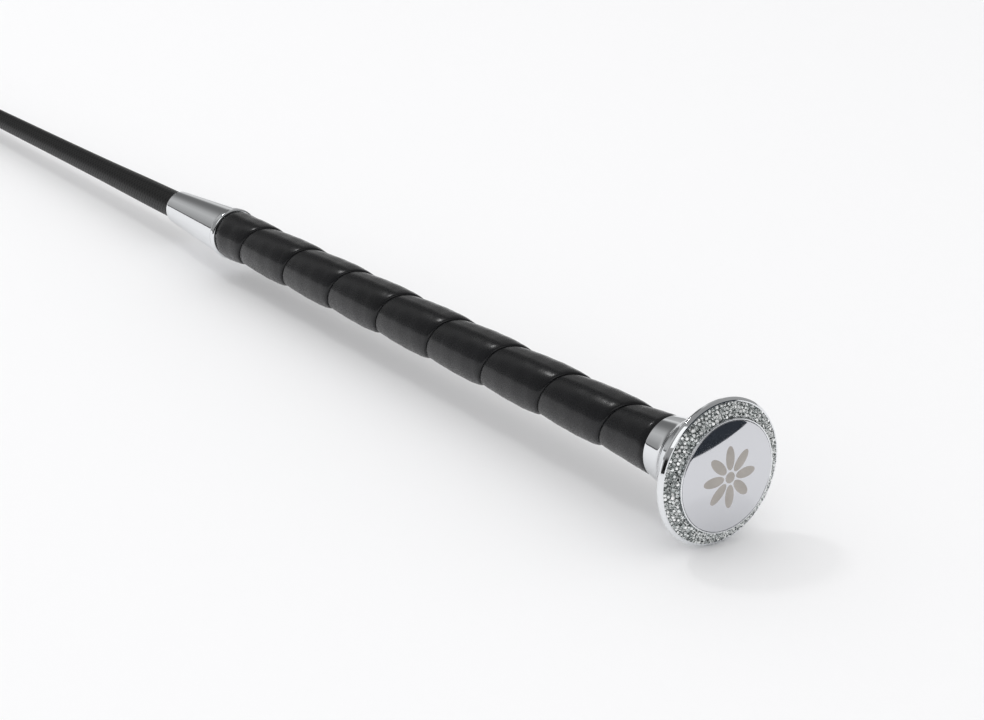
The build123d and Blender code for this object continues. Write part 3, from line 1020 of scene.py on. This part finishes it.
        # painted reflections: girdle faces darker, crown facets and tables from near black to white, hidden
        # foot black
        girdle = draw.uniform(0.0, 0.6, (total, girdles))
        crown = draw.beta(0.8, 0.8, (total, crowns))
        table = np.repeat(draw.beta(0.8, 0.8, (total, 1)), tables, 1)
        floor = np.zeros((total, tables))
        tones = np.concatenate([girdle.ravel(), np.concatenate([crown, table, floor], 1).ravel()])
        layer = piece.data.attributes.new("facet_tone", "FLOAT", "FACE")
        layer.data.foreach_set("value", tones.astype(np.float32))

    def build(self) -> None:
        """Build and dress the whole cap."""
        self.build_shell()
        self.build_ring()
        self.build_disc()
        self.build_inlay()
        self.build_stones()


@dataclass
class Grip:
    """The padded leather winding between cap and ferrule."""

    pitch: float = 25.2
    seam_station: float = 35.28
    seam_wander: float = 1.45
    seam_bearing_deg: float = 55.7
    first_station: float = 15.1
    last_station: float = 241.1

    def build(self) -> None:
        leather = GripLeather("grip_leather_wrap", self.first_station, self.last_station, self.pitch,
                              self.seam_station, gap=0.07, steps_per_turn=144, across=30,
                              wander=self.seam_wander, wander_bearing_deg=self.seam_bearing_deg)
        piece = leather.build()
        dress(piece, GRIP_LEATHER, "grip_leather", CROP_BODY, "grip_wrap")


@dataclass
class Ferrule:
    """The chromed collar between grip and shaft."""

    start: float = 231.5
    end: float = 267.5
    bead: float = 8.15
    waist: float = 7.92
    nose: float = 5.62
    bore: float = 4.48
    socket: float = 7.0
    cone_start: float = 241.7
    bush_end: float = 264.0
    bush_nose: float = 5.0

    def build(self) -> None:
        """Turn the beaded mouth, the straight taper, the rounded nose and the inside."""
        outline = rounded_outline([
            (self.cone_start, self.socket, 0.0), (self.start, self.socket, 0.12),
            (self.start, self.bead, 0.6), (self.start + 2.0, self.bead, 0.7),
            (self.start + 2.15, self.waist, 0.25), (self.end - 1.0, self.nose - 0.12, 1.9),
            (self.end, self.bore + 0.35, 0.3), (self.end, self.bore, 0.06),
            (self.bush_end, self.bore, 0.0), (self.bush_end, self.bush_nose, 0.0),
            (self.cone_start, self.socket, 0.0)], steps=12)
        piece = lathe("ferrule_bright", refined(outline[:-1], 0.8), segments=192)
        dress(piece, CHROME, "chrome", CROP_BODY, "ferrule")


@dataclass
class Shaft:
    """The braided cover of the tapered rod."""

    wall: float = 0.65
    stations: tuple[float, ...] = (242.2, 267.5, 325.6, 376.6, 452.0, 532.0, 600.0)
    radii: tuple[float, ...] = (4.4, 4.4, 3.74, 3.36, 2.95, 2.6, 2.35)

    def taper(self, station: np.ndarray) -> np.ndarray:
        """Outer radius along the shaft.

        A cubic runs between each two stations, with the slope at each inner station taken from its
        two neighbours and level slopes at both ends.

        Args:
            station: Stations wanted.

        Returns:
            Radius at each.
        """
        x, r = np.array(self.stations), np.array(self.radii)
        slope = np.zeros_like(r)
        slope[2:-1] = (r[3:] - r[1:-2]) / (x[3:] - x[1:-2])
        slope[-1] = (r[-1] - r[-2]) / (x[-1] - x[-2])
        k = np.clip(np.searchsorted(x, station, side="right") - 1, 0, len(x) - 2)
        span = x[k + 1] - x[k]
        t = (station - x[k]) / span
        return ((2 * t ** 3 - 3 * t ** 2 + 1) * r[k] + (t ** 3 - 2 * t ** 2 + t) * span * slope[k]
                + (3 * t ** 2 - 2 * t ** 3) * r[k + 1] + (t ** 3 - t ** 2) * span * slope[k + 1])

    def build(self) -> None:
        """Turn the cover as a long tapered sleeve."""
        station = np.linspace(self.stations[0], self.stations[-1], 220)
        outside = self.taper(station)
        outline = np.concatenate([np.stack([station, outside], -1),
                                  np.stack([station[::-1], outside[::-1] - self.wall], -1)])
        dress(lathe("shaft_cover_braid", outline, segments=96), BRAID, "lacquered_braid", CROP_BODY,
              "shaft_cover")


@dataclass
class Keeper:
    """The folded leather keeper: tails on the shaft, whipping, two leaves and their stitches."""

    tail_start: float = 574.0
    tail_end: float = 600.5
    hinge: float = 612.1
    fold: float = 674.1
    leaf_outside: float = 1.8
    leaf_inside: float = 0.2
    tail_outside: float = 3.18
    tail_inside: float = 2.47
    strap_width: float = 9.0
    width: float = 26.0
    flare: float = 18.0
    corner: float = 8.0
    hug: float = 1.43
    bend_reach: float = 8.0
    stitch_margin: float = 4.0
    whip_start: float = 576.0
    whip_turns: int = 34
    whip_pitch: float = 0.7
    stitch_pitch: float = 3.2
    stitch_count: int = 11
    stitch_inset: float = 2.8
    stitch_length: float = 2.3
    stitch_radius: float = 0.22
    stitch_sink: float = 0.25
    groove_width: float = 0.9
    groove_depth: float = 0.25

    def half_width(self, station: np.ndarray) -> np.ndarray:
        """Half the strip's width: narrow strap, smooth flare, then elliptical corners at the fold.

        Args:
            station: Station of each row.

        Returns:
            Half width in millimetres.
        """
        wide = smoothstep(self.hinge + 1.0, self.hinge + self.flare, station)
        half = 0.5 * (self.strap_width + (self.width - self.strap_width) * wide)
        t = np.clip((station - (self.fold - 5.0)) / 7.0, 0.0, 1.0)
        return half - self.corner * (1.0 - np.sqrt(1.0 - t ** 2))

    def leather_rows(self) -> tuple[np.ndarray, np.ndarray, np.ndarray, np.ndarray]:
        """Path of the strip: along the upper leaf, round the fold and back along the lower leaf.

        Returns:
            Station of the leaf, sine and cosine of the direction that the outside faces, and how
            closely each row hugs the round shaft.
        """
        leaf = np.concatenate([np.linspace(self.tail_start, self.tail_end, 24, endpoint=False),
                               np.linspace(self.tail_end, self.fold, 90)])
        bend = np.linspace(0.0, math.pi, 15)[1:-1]
        station = np.concatenate([leaf, np.full(bend.size, self.fold), leaf[::-1]])
        facing = np.concatenate([np.zeros(leaf.size), bend, np.full(leaf.size, math.pi)])
        hug = 1.0 - smoothstep(self.tail_end - 1.5, self.hinge - 4.0, station)
        return station, np.sin(facing), np.cos(facing), hug

    def groove_sink(self, station: np.ndarray, off_row: np.ndarray) -> np.ndarray:
        """Depth of the creased groove that the stitches lie in.

        Args:
            station: Station of each row.
            off_row: Distance of each point from the line of stitches.

        Returns:
            Depth below the leaf's outside.
        """
        first = self.hinge + self.flare + self.stitch_margin
        last = first + (self.stitch_count - 1) * self.stitch_pitch
        reach = 0.5 * (self.stitch_length + self.groove_width)
        wall = 1.0 - smoothstep(0.28, 0.5, np.abs(off_row) / self.groove_width)
        along = (smoothstep(first - reach - 0.6, first - reach + 0.3, station)
                 * (1.0 - smoothstep(last + reach - 0.3, last + reach + 0.6, station)))
        return self.groove_depth * wall * along

    def build_leather(self) -> None:
        """Build the one folded strip of leather, which is left attached to no body.

        A row's section is a flat bar whose outside and inside lie at their own distance from the
        fold's middle. Towards the shaft it is rolled into a half sleeve: a point at fraction w of
        the half width goes to the angle w times the hug angle.
        """
        station, out_x, out_z, hug = self.leather_rows()
        stitch_row = 0.5 * self.width - self.stitch_inset
        groove = (stitch_row + self.groove_width * np.linspace(-0.5, 0.5, 7)) / (0.5 * self.width)
        place = np.sin(np.linspace(-0.5 * math.pi, 0.5 * math.pi, 21))
        place = np.sort(np.concatenate([place, groove, -groove]))
        across = np.concatenate([place, place[::-1]])[None, :]
        outer = np.concatenate([np.ones(place.size), np.zeros(place.size)])[None, :]
        ease = hug[:, None]
        half = self.half_width(station)[:, None]
        flat_y = across * half
        thick_out = (self.leaf_outside + (self.tail_outside - self.leaf_outside) * ease
                     - self.groove_sink(station[:, None], np.abs(flat_y) - stitch_row))
        thick_in = self.leaf_inside + (self.tail_inside - self.leaf_inside) * ease
        softened = 0.22 * np.clip((np.abs(across) - 0.9) / 0.1, 0.0, 1.0) ** 2
        reach = thick_in + (thick_out - thick_in) * (softened + outer * (1.0 - 2.0 * softened))
        round_y = reach * np.sin(across * self.hug)
        round_z = reach * np.cos(across * self.hug)
        y = flat_y * (1.0 - ease) + round_y * ease
        lift = reach * (1.0 - ease) + round_z * ease
        x = -(station[:, None] + lift * out_x[:, None])
        z = lift * out_z[:, None]
        points = np.stack([np.broadcast_to(x, y.shape), y, np.broadcast_to(z, y.shape)], -1)
        rows, columns = y.shape
        uv = np.stack([np.broadcast_to(station[:, None], y.shape), flat_y], -1) / MAP_LENGTH
        half_loop = np.arange(place.size - 1)
        ends = []
        for base, flip in ((0, False), ((rows - 1) * columns, True)):
            outer_here = base + half_loop
            inner_here = base + columns - 1 - half_loop
            strip = np.stack([outer_here, outer_here + 1, inner_here - 1, inner_here], -1)
            ends.append(strip if flip else strip[:, ::-1])
        quads = np.concatenate([grid_faces(rows, columns, False, True)] + ends)
        piece = make_piece("keeper_leather", points.reshape(-1, 3), quads, uv=uv.reshape(-1, 2),
                           crease_deg=40.0)
        dress(piece, KEEPER_LEATHER, "keeper_leather", "", "keeper_neck", "keeper_tongue")
        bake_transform(piece)

    def build_stitches(self) -> None:
        """Lay saddle stitches along both edges of both leaves.

        One stitch is a capsule: a round bar along X whose radius falls to nothing at its ends as a
        half circle. It is copied to every place by adding that place's middle to its points.
        """
        rows, columns = 9, 10
        along = np.linspace(-1.0, 1.0, rows)[:, None]
        around = np.linspace(0.0, TURN, columns, endpoint=False)[None, :]
        girth = self.stitch_radius * np.sqrt(np.clip(1.0 - np.abs(along) ** 6, 0.004, 1.0))
        stitch = np.stack([np.broadcast_to(0.5 * self.stitch_length * along, (rows, columns)),
                           girth * np.cos(around), girth * np.sin(around)], -1).reshape(-1, 3)
        first = self.hinge + self.flare + self.stitch_margin
        x = -(first + self.stitch_pitch * np.arange(self.stitch_count))
        y = np.array([-1.0, 1.0]) * (0.5 * self.width - self.stitch_inset)
        z = np.array([-1.0, 1.0]) * (self.leaf_outside - self.stitch_sink)
        seats = np.stack(np.meshgrid(x, y, z, indexing="ij"), -1).reshape(-1, 3)
        points = (seats[:, None, :] + stitch[None]).reshape(-1, 3)
        column = np.arange(columns)
        quad = grid_faces(rows, columns, False, True)
        first_cap = np.stack([np.zeros(columns - 2, int), column[2:], column[1:-1]], -1)
        last = (rows - 1) * columns
        last_cap = np.stack([np.full(columns - 2, last), last + column[1:-1], last + column[2:]], -1)
        offset = (np.arange(len(seats)) * rows * columns)[:, None, None]
        quads = (quad[None] + offset).reshape(-1, 4)
        caps = (np.concatenate([first_cap, last_cap])[None] + offset).reshape(-1, 3)
        piece = make_piece("keeper_saddle_stitches", points, quads, caps)
        dress(piece, STITCH, "stitch_thread", KEEPER_BODY, "keeper_stitching")

    def build(self) -> None:
        """Build the keeper and its whipping."""
        self.build_leather()
        self.build_stitches()
        thread = ThreadWhipping("tip_whipping_thread", self.whip_start,
                                self.whip_start + self.whip_turns * self.whip_pitch, self.whip_pitch,
                                self.whip_start, gap=0.004, steps_per_turn=40, across=9,
                                lay=Lay.RIGHT_HAND)
        dress(thread.build(), WHIPPING, "whipping_thread", CROP_BODY, "tip_whipping")


@dataclass
class HiddenParts:
    """The pieces inside, which keep their CAD shape and get their own finishes."""

    def build(self) -> None:
        """Dress every CAD node whose slot has a finish here."""
        for part in frame["record"]["subparts"]:
            finish = HIDDEN.get(part["material_slot"])
            if finish is None:
                continue
            node = frame["nodes"][part["node"]]
            for slot in node.material_slots:
                slot.material = finish.material()
            LOG.info("dressed %s as %s", part["node"], finish.name)


# ----------------------------------------------------------------------------- studio


@dataclass
class Studio:
    """Pale floor, soft lights and the room that the chrome reflects."""

    rim_station: float = 4.15
    rim_radius: float = 18.9
    rest_station: float = 599.45
    rest_radius: float = 3.9
    floor_size: float = 24.0
    floor_colour: str = "#f6f6f7"
    ambient: float = 1.06
    flag_feet: tuple[tuple[float, float], ...] = ((0.074, 0.012), (0.090, 0.1))
    flag_heights: tuple[float, float] = (-0.0215, 0.09)
    softbox_direction: tuple[float, float, float] = (0.43, -0.53, 0.73)
    softbox_distance: float = 1.2
    softbox_half_size: tuple[float, float] = (0.36, 0.3)
    softbox_glow: float = 1.15
    panel_aim: tuple[float, float, float] = (-0.1, 0.0, 0.0)
    back_wall: tuple[tuple[float, float], ...] = (
        (0.0, 0.3), (0.26, 0.31), (0.31, 0.43), (0.38, 0.52), (0.45, 0.42), (0.5, 0.3), (0.56, 0.2),
        (0.62, 0.165), (0.68, 0.17), (0.71, 0.22), (0.745, 0.6), (0.77, 0.72), (0.8, 0.46), (0.9, 0.4),
        (1.0, 0.36))
    front_wall: tuple[tuple[float, float], ...] = (
        (0.0, 0.012), (0.27, 0.015), (0.36, 0.3), (0.6, 0.34), (1.0, 0.3))
    skirting: tuple[tuple[float, float], ...] = ((0.0, 1.0), (0.035, 1.0), (0.075, 0.0))

    @property
    def tilt(self) -> float:
        """Angle between the crop's axis and the floor that its cap and whipping rest on."""
        return math.atan2(self.rim_radius - self.rest_radius, self.rest_station - self.rim_station)

    def build_floor(self) -> None:
        """Lay the floor under the cap's rim and the whipping."""
        mesh = bpy.data.meshes.new("studio_floor")
        half = 0.5 * self.floor_size
        square = np.array([(-half, -half, 0.0), (half, -half, 0.0), (half, half, 0.0), (-half, half, 0.0)])
        turn = np.array(Matrix.Rotation(self.tilt, 3, "Y"))
        foot = np.array([-self.rim_station, 0.0, -self.rim_radius]) * MM
        mesh.from_pydata((square @ turn.T + foot).tolist(), [], [(0, 1, 2, 3)])
        floor = bpy.data.objects.new("studio_floor", mesh)
        bpy.context.scene.collection.objects.link(floor)
        mesh.materials.append(Finish("matt_white_paper", self.floor_colour, roughness=0.75,
                                     specular=0.15).material())

    def add_panel(self, name: str, direction: tuple[float, float, float], distance: float,
                  size: tuple[float, float], power: float) -> None:
        """Hang one soft light panel that faces the grip.

        Args:
            name: Light name.
            direction: Direction from the grip to the panel.
            distance: Distance in metres.
            size: Width and height in metres.
            power: Power in watts.
        """
        light = bpy.data.lights.new(name, "AREA")
        light.shape = "RECTANGLE"
        light.size, light.size_y = size
        light.energy = power
        panel = bpy.data.objects.new(name, light)
        towards = Vector(direction).normalized()
        place = Vector(self.panel_aim) + towards * distance
        turned = towards.to_track_quat("Z", "Y").to_matrix().to_4x4()
        panel.matrix_world = Matrix.Translation(place) @ turned
        panel.visible_camera = False
        bpy.context.scene.collection.objects.link(panel)

    def build_flag(self) -> None:
        """Stand a dark flag beyond the cap that only reflections see."""
        mesh = bpy.data.meshes.new("studio_flag")
        near, far = self.flag_feet
        low, high = self.flag_heights
        corners = [(*near, low), (*far, low), (*far, high), (*near, high)]
        mesh.from_pydata(corners, [], [(0, 1, 2, 3)])
        flag = bpy.data.objects.new("studio_flag", mesh)
        bpy.context.scene.collection.objects.link(flag)
        mesh.materials.append(Finish("dark_felt", "#363b41", roughness=0.9, specular=0.05).material())
        flag.visible_camera = False
        flag.visible_diffuse = False
        flag.visible_shadow = False

    def add_ramp(self, tree: bpy.types.NodeTree, source: bpy.types.NodeSocket,
                 steps: tuple[tuple[float, float], ...]) -> bpy.types.NodeSocket:
        """Turn a value into a grey level by straight steps.

        Args:
            tree: The room's nodes.
            source: Value from 0 to 1.
            steps: Position and grey level of each step, at most 32.

        Returns:
            The grey level.
        """
        ramp = add_node(tree, "ShaderNodeValToRGB", links={"Fac": source})
        elements = ramp.color_ramp.elements
        while len(elements) < len(steps):
            elements.new(1.0)
        for element, (position, level) in zip(elements, steps):
            element.position = position
            element.color = (level, level, level, 1.0)
        return ramp.outputs["Color"]

    def blend(self, tree: bpy.types.NodeTree, factor: bpy.types.NodeSocket, first: bpy.types.NodeSocket,
              second: bpy.types.NodeSocket | tuple[float, float, float, float]) -> bpy.types.NodeSocket:
        """Mix two colours.

        Args:
            tree: The room's nodes.
            factor: Share of the second colour.
            first: First colour.
            second: Second colour, or a fixed one.

        Returns:
            The mixed colour.
        """
        node = add_node(tree, "ShaderNodeMix", settings={"data_type": "RGBA"},
                        links={"Factor": factor, "A": first})
        if isinstance(second, tuple):
            node.inputs["B"].default_value = second
        else:
            tree.links.new(second, node.inputs["B"])
        return node.outputs["Result"]

    def build_room(self) -> None:
        """Make the room that glossy surfaces see, with an even white room for everything else.

        Behind the crop the walls differ by compass bearing: bright window bays with a dark doorway
        between them. In front of the cap they differ by height: a dark dado, then a grey wall and
        ceiling. A thin dark skirting runs along the near side's horizon.
        """
        world = bpy.data.worlds.new("studio_room")
        bpy.context.scene.world = world
        world.use_nodes = True
        tree = world.node_tree
        tree.nodes.clear()
        where = add_node(tree, "ShaderNodeTexCoord")
        parts = add_node(tree, "ShaderNodeSeparateXYZ", links={"Vector": where.outputs["Generated"]})
        along, beside, height = (parts.outputs[axis] for axis in "XYZ")
        depth = add_node(tree, "ShaderNodeMath", settings={"operation": "MULTIPLY"}, values={1: -1.0},
                         links={0: along})
        clear = add_node(tree, "ShaderNodeMath", settings={"operation": "MAXIMUM"}, values={1: 0.05},
                         links={0: depth.outputs["Value"]})
        bearing = add_node(tree, "ShaderNodeMath", settings={"operation": "DIVIDE"},
                           links={0: beside, 1: clear.outputs["Value"]})
        placed = add_node(tree, "ShaderNodeMapRange",
                          values={"From Min": -1.0, "From Max": 1.0, "To Min": 0.0, "To Max": 1.0},
                          links={"Value": bearing.outputs["Value"]})
        back_wall = self.add_ramp(tree, placed.outputs["Result"], self.back_wall)
        front_wall = self.add_ramp(tree, height, self.front_wall)
        in_front = add_node(tree, "ShaderNodeMapRange", settings={"interpolation_type": "SMOOTHSTEP"},
                            values={"From Min": 0.0, "From Max": 0.25, "To Min": 0.0, "To Max": 1.0},
                            links={"Value": along})
        walls = self.blend(tree, in_front.outputs["Result"], back_wall, front_wall)
        skirting = self.add_ramp(tree, height, self.skirting)
        near_side = add_node(tree, "ShaderNodeMapRange",
                             values={"From Min": 0.0, "From Max": -0.25, "To Min": 0.0, "To Max": 1.0},
                             links={"Value": beside})
        low = add_node(tree, "ShaderNodeMath", settings={"operation": "MULTIPLY"},
                       links={0: near_side.outputs["Result"], 1: skirting})
        seen = self.blend(tree, low.outputs["Value"], walls, (0.03, 0.03, 0.03, 1.0))
        path = add_node(tree, "ShaderNodeLightPath")
        glossy = self.blend(tree, path.outputs["Is Diffuse Ray"], seen, (self.ambient,) * 3 + (1.0,))
        final = self.blend(tree, path.outputs["Is Camera Ray"], glossy, (1.0, 1.0, 1.0, 1.0))
        sky = add_node(tree, "ShaderNodeBackground", values={"Strength": 1.0}, links={"Color": final})
        add_node(tree, "ShaderNodeOutputWorld", links={"Surface": sky.outputs["Background"]})

    def build_softbox(self) -> None:
        """Hang the white box that the cap's rim and bezel catch. Only reflections see it."""
        mesh = bpy.data.meshes.new("studio_softbox")
        towards = Vector(self.softbox_direction).normalized()
        across = towards.cross(Vector((0.0, 0.0, 1.0))).normalized()
        above = across.cross(towards)
        middle = towards * self.softbox_distance
        side, rise = across * self.softbox_half_size[0], above * self.softbox_half_size[1]
        corners = (middle - side - rise, middle + side - rise, middle + side + rise, middle - side + rise)
        mesh.from_pydata([tuple(corner) for corner in corners], [], [(0, 1, 2, 3)])
        softbox = bpy.data.objects.new("studio_softbox", mesh)
        bpy.context.scene.collection.objects.link(softbox)
        cloth = bpy.data.materials.new("softbox_cloth")
        cloth.use_nodes = True
        cloth.node_tree.nodes.clear()
        glow = add_node(cloth.node_tree, "ShaderNodeEmission", values={"Strength": self.softbox_glow})
        add_node(cloth.node_tree, "ShaderNodeOutputMaterial", links={"Surface": glow.outputs["Emission"]})
        mesh.materials.append(cloth)
        softbox.visible_camera = False
        softbox.visible_diffuse = False
        softbox.visible_shadow = False

    def build(self) -> None:
        """Set up the floor, the room, the flag, the softbox and the overhead panel."""
        self.build_floor()
        self.build_room()
        self.build_flag()
        self.build_softbox()
        self.add_panel("overhead_panel", (-0.55, -0.14, 0.82), 1.5, (0.2, 0.16), 2.0)
        LOG.info("floor tilt %.2f deg", math.degrees(self.tilt))


@dataclass
class Viewpoint:
    """The camera: a long lens above and beside the cap, looking down the crop."""

    azimuth_deg: float = 53.871
    elevation_deg: float = 21.930
    roll_deg: float = -0.932
    distance: float = 0.60384
    aim_station: float = 95.47
    aim_offset: float = 0.0001
    lens_mm: float = 81.855
    sensor_mm: float = 36.0

    def build(self) -> None:
        """Create the camera and make it the scene's camera.

        The camera's back axis is (sin a cos e, -cos a cos e, sin e), and its right axis is level
        before the roll.
        """
        a, e = math.radians(self.azimuth_deg), math.radians(self.elevation_deg)
        roll = math.radians(self.roll_deg)
        back = Vector((math.sin(a) * math.cos(e), -math.cos(a) * math.cos(e), math.sin(e)))
        level = Vector((math.cos(a), math.sin(a), 0.0))
        above = back.cross(level)
        right = level * math.cos(roll) + above * math.sin(roll)
        up = back.cross(right)
        aim = Vector((-self.aim_station * MM, self.aim_offset, self.aim_offset))
        data = bpy.data.cameras.new("camera")
        data.lens = self.lens_mm
        data.sensor_width = self.sensor_mm
        data.clip_start = 0.01
        camera = bpy.data.objects.new("camera", data)
        axes = Matrix((right, up, back)).transposed().to_4x4()
        camera.matrix_world = Matrix.Translation(aim + back * self.distance) @ axes
        bpy.context.scene.collection.objects.link(camera)
        bpy.context.scene.camera = camera


def main() -> None:
    """Build the crop's looks, the studio and the camera."""
    logging.basicConfig(level=logging.INFO, format="%(message)s")
    bpy.context.scene.view_settings.view_transform = "Standard"
    MushroomCap().build()
    Grip().build()
    Ferrule().build()
    Shaft().build()
    Keeper().build()
    HiddenParts().build()
    Studio().build()
    Viewpoint().build()


if __name__ == "__main__":
    main()
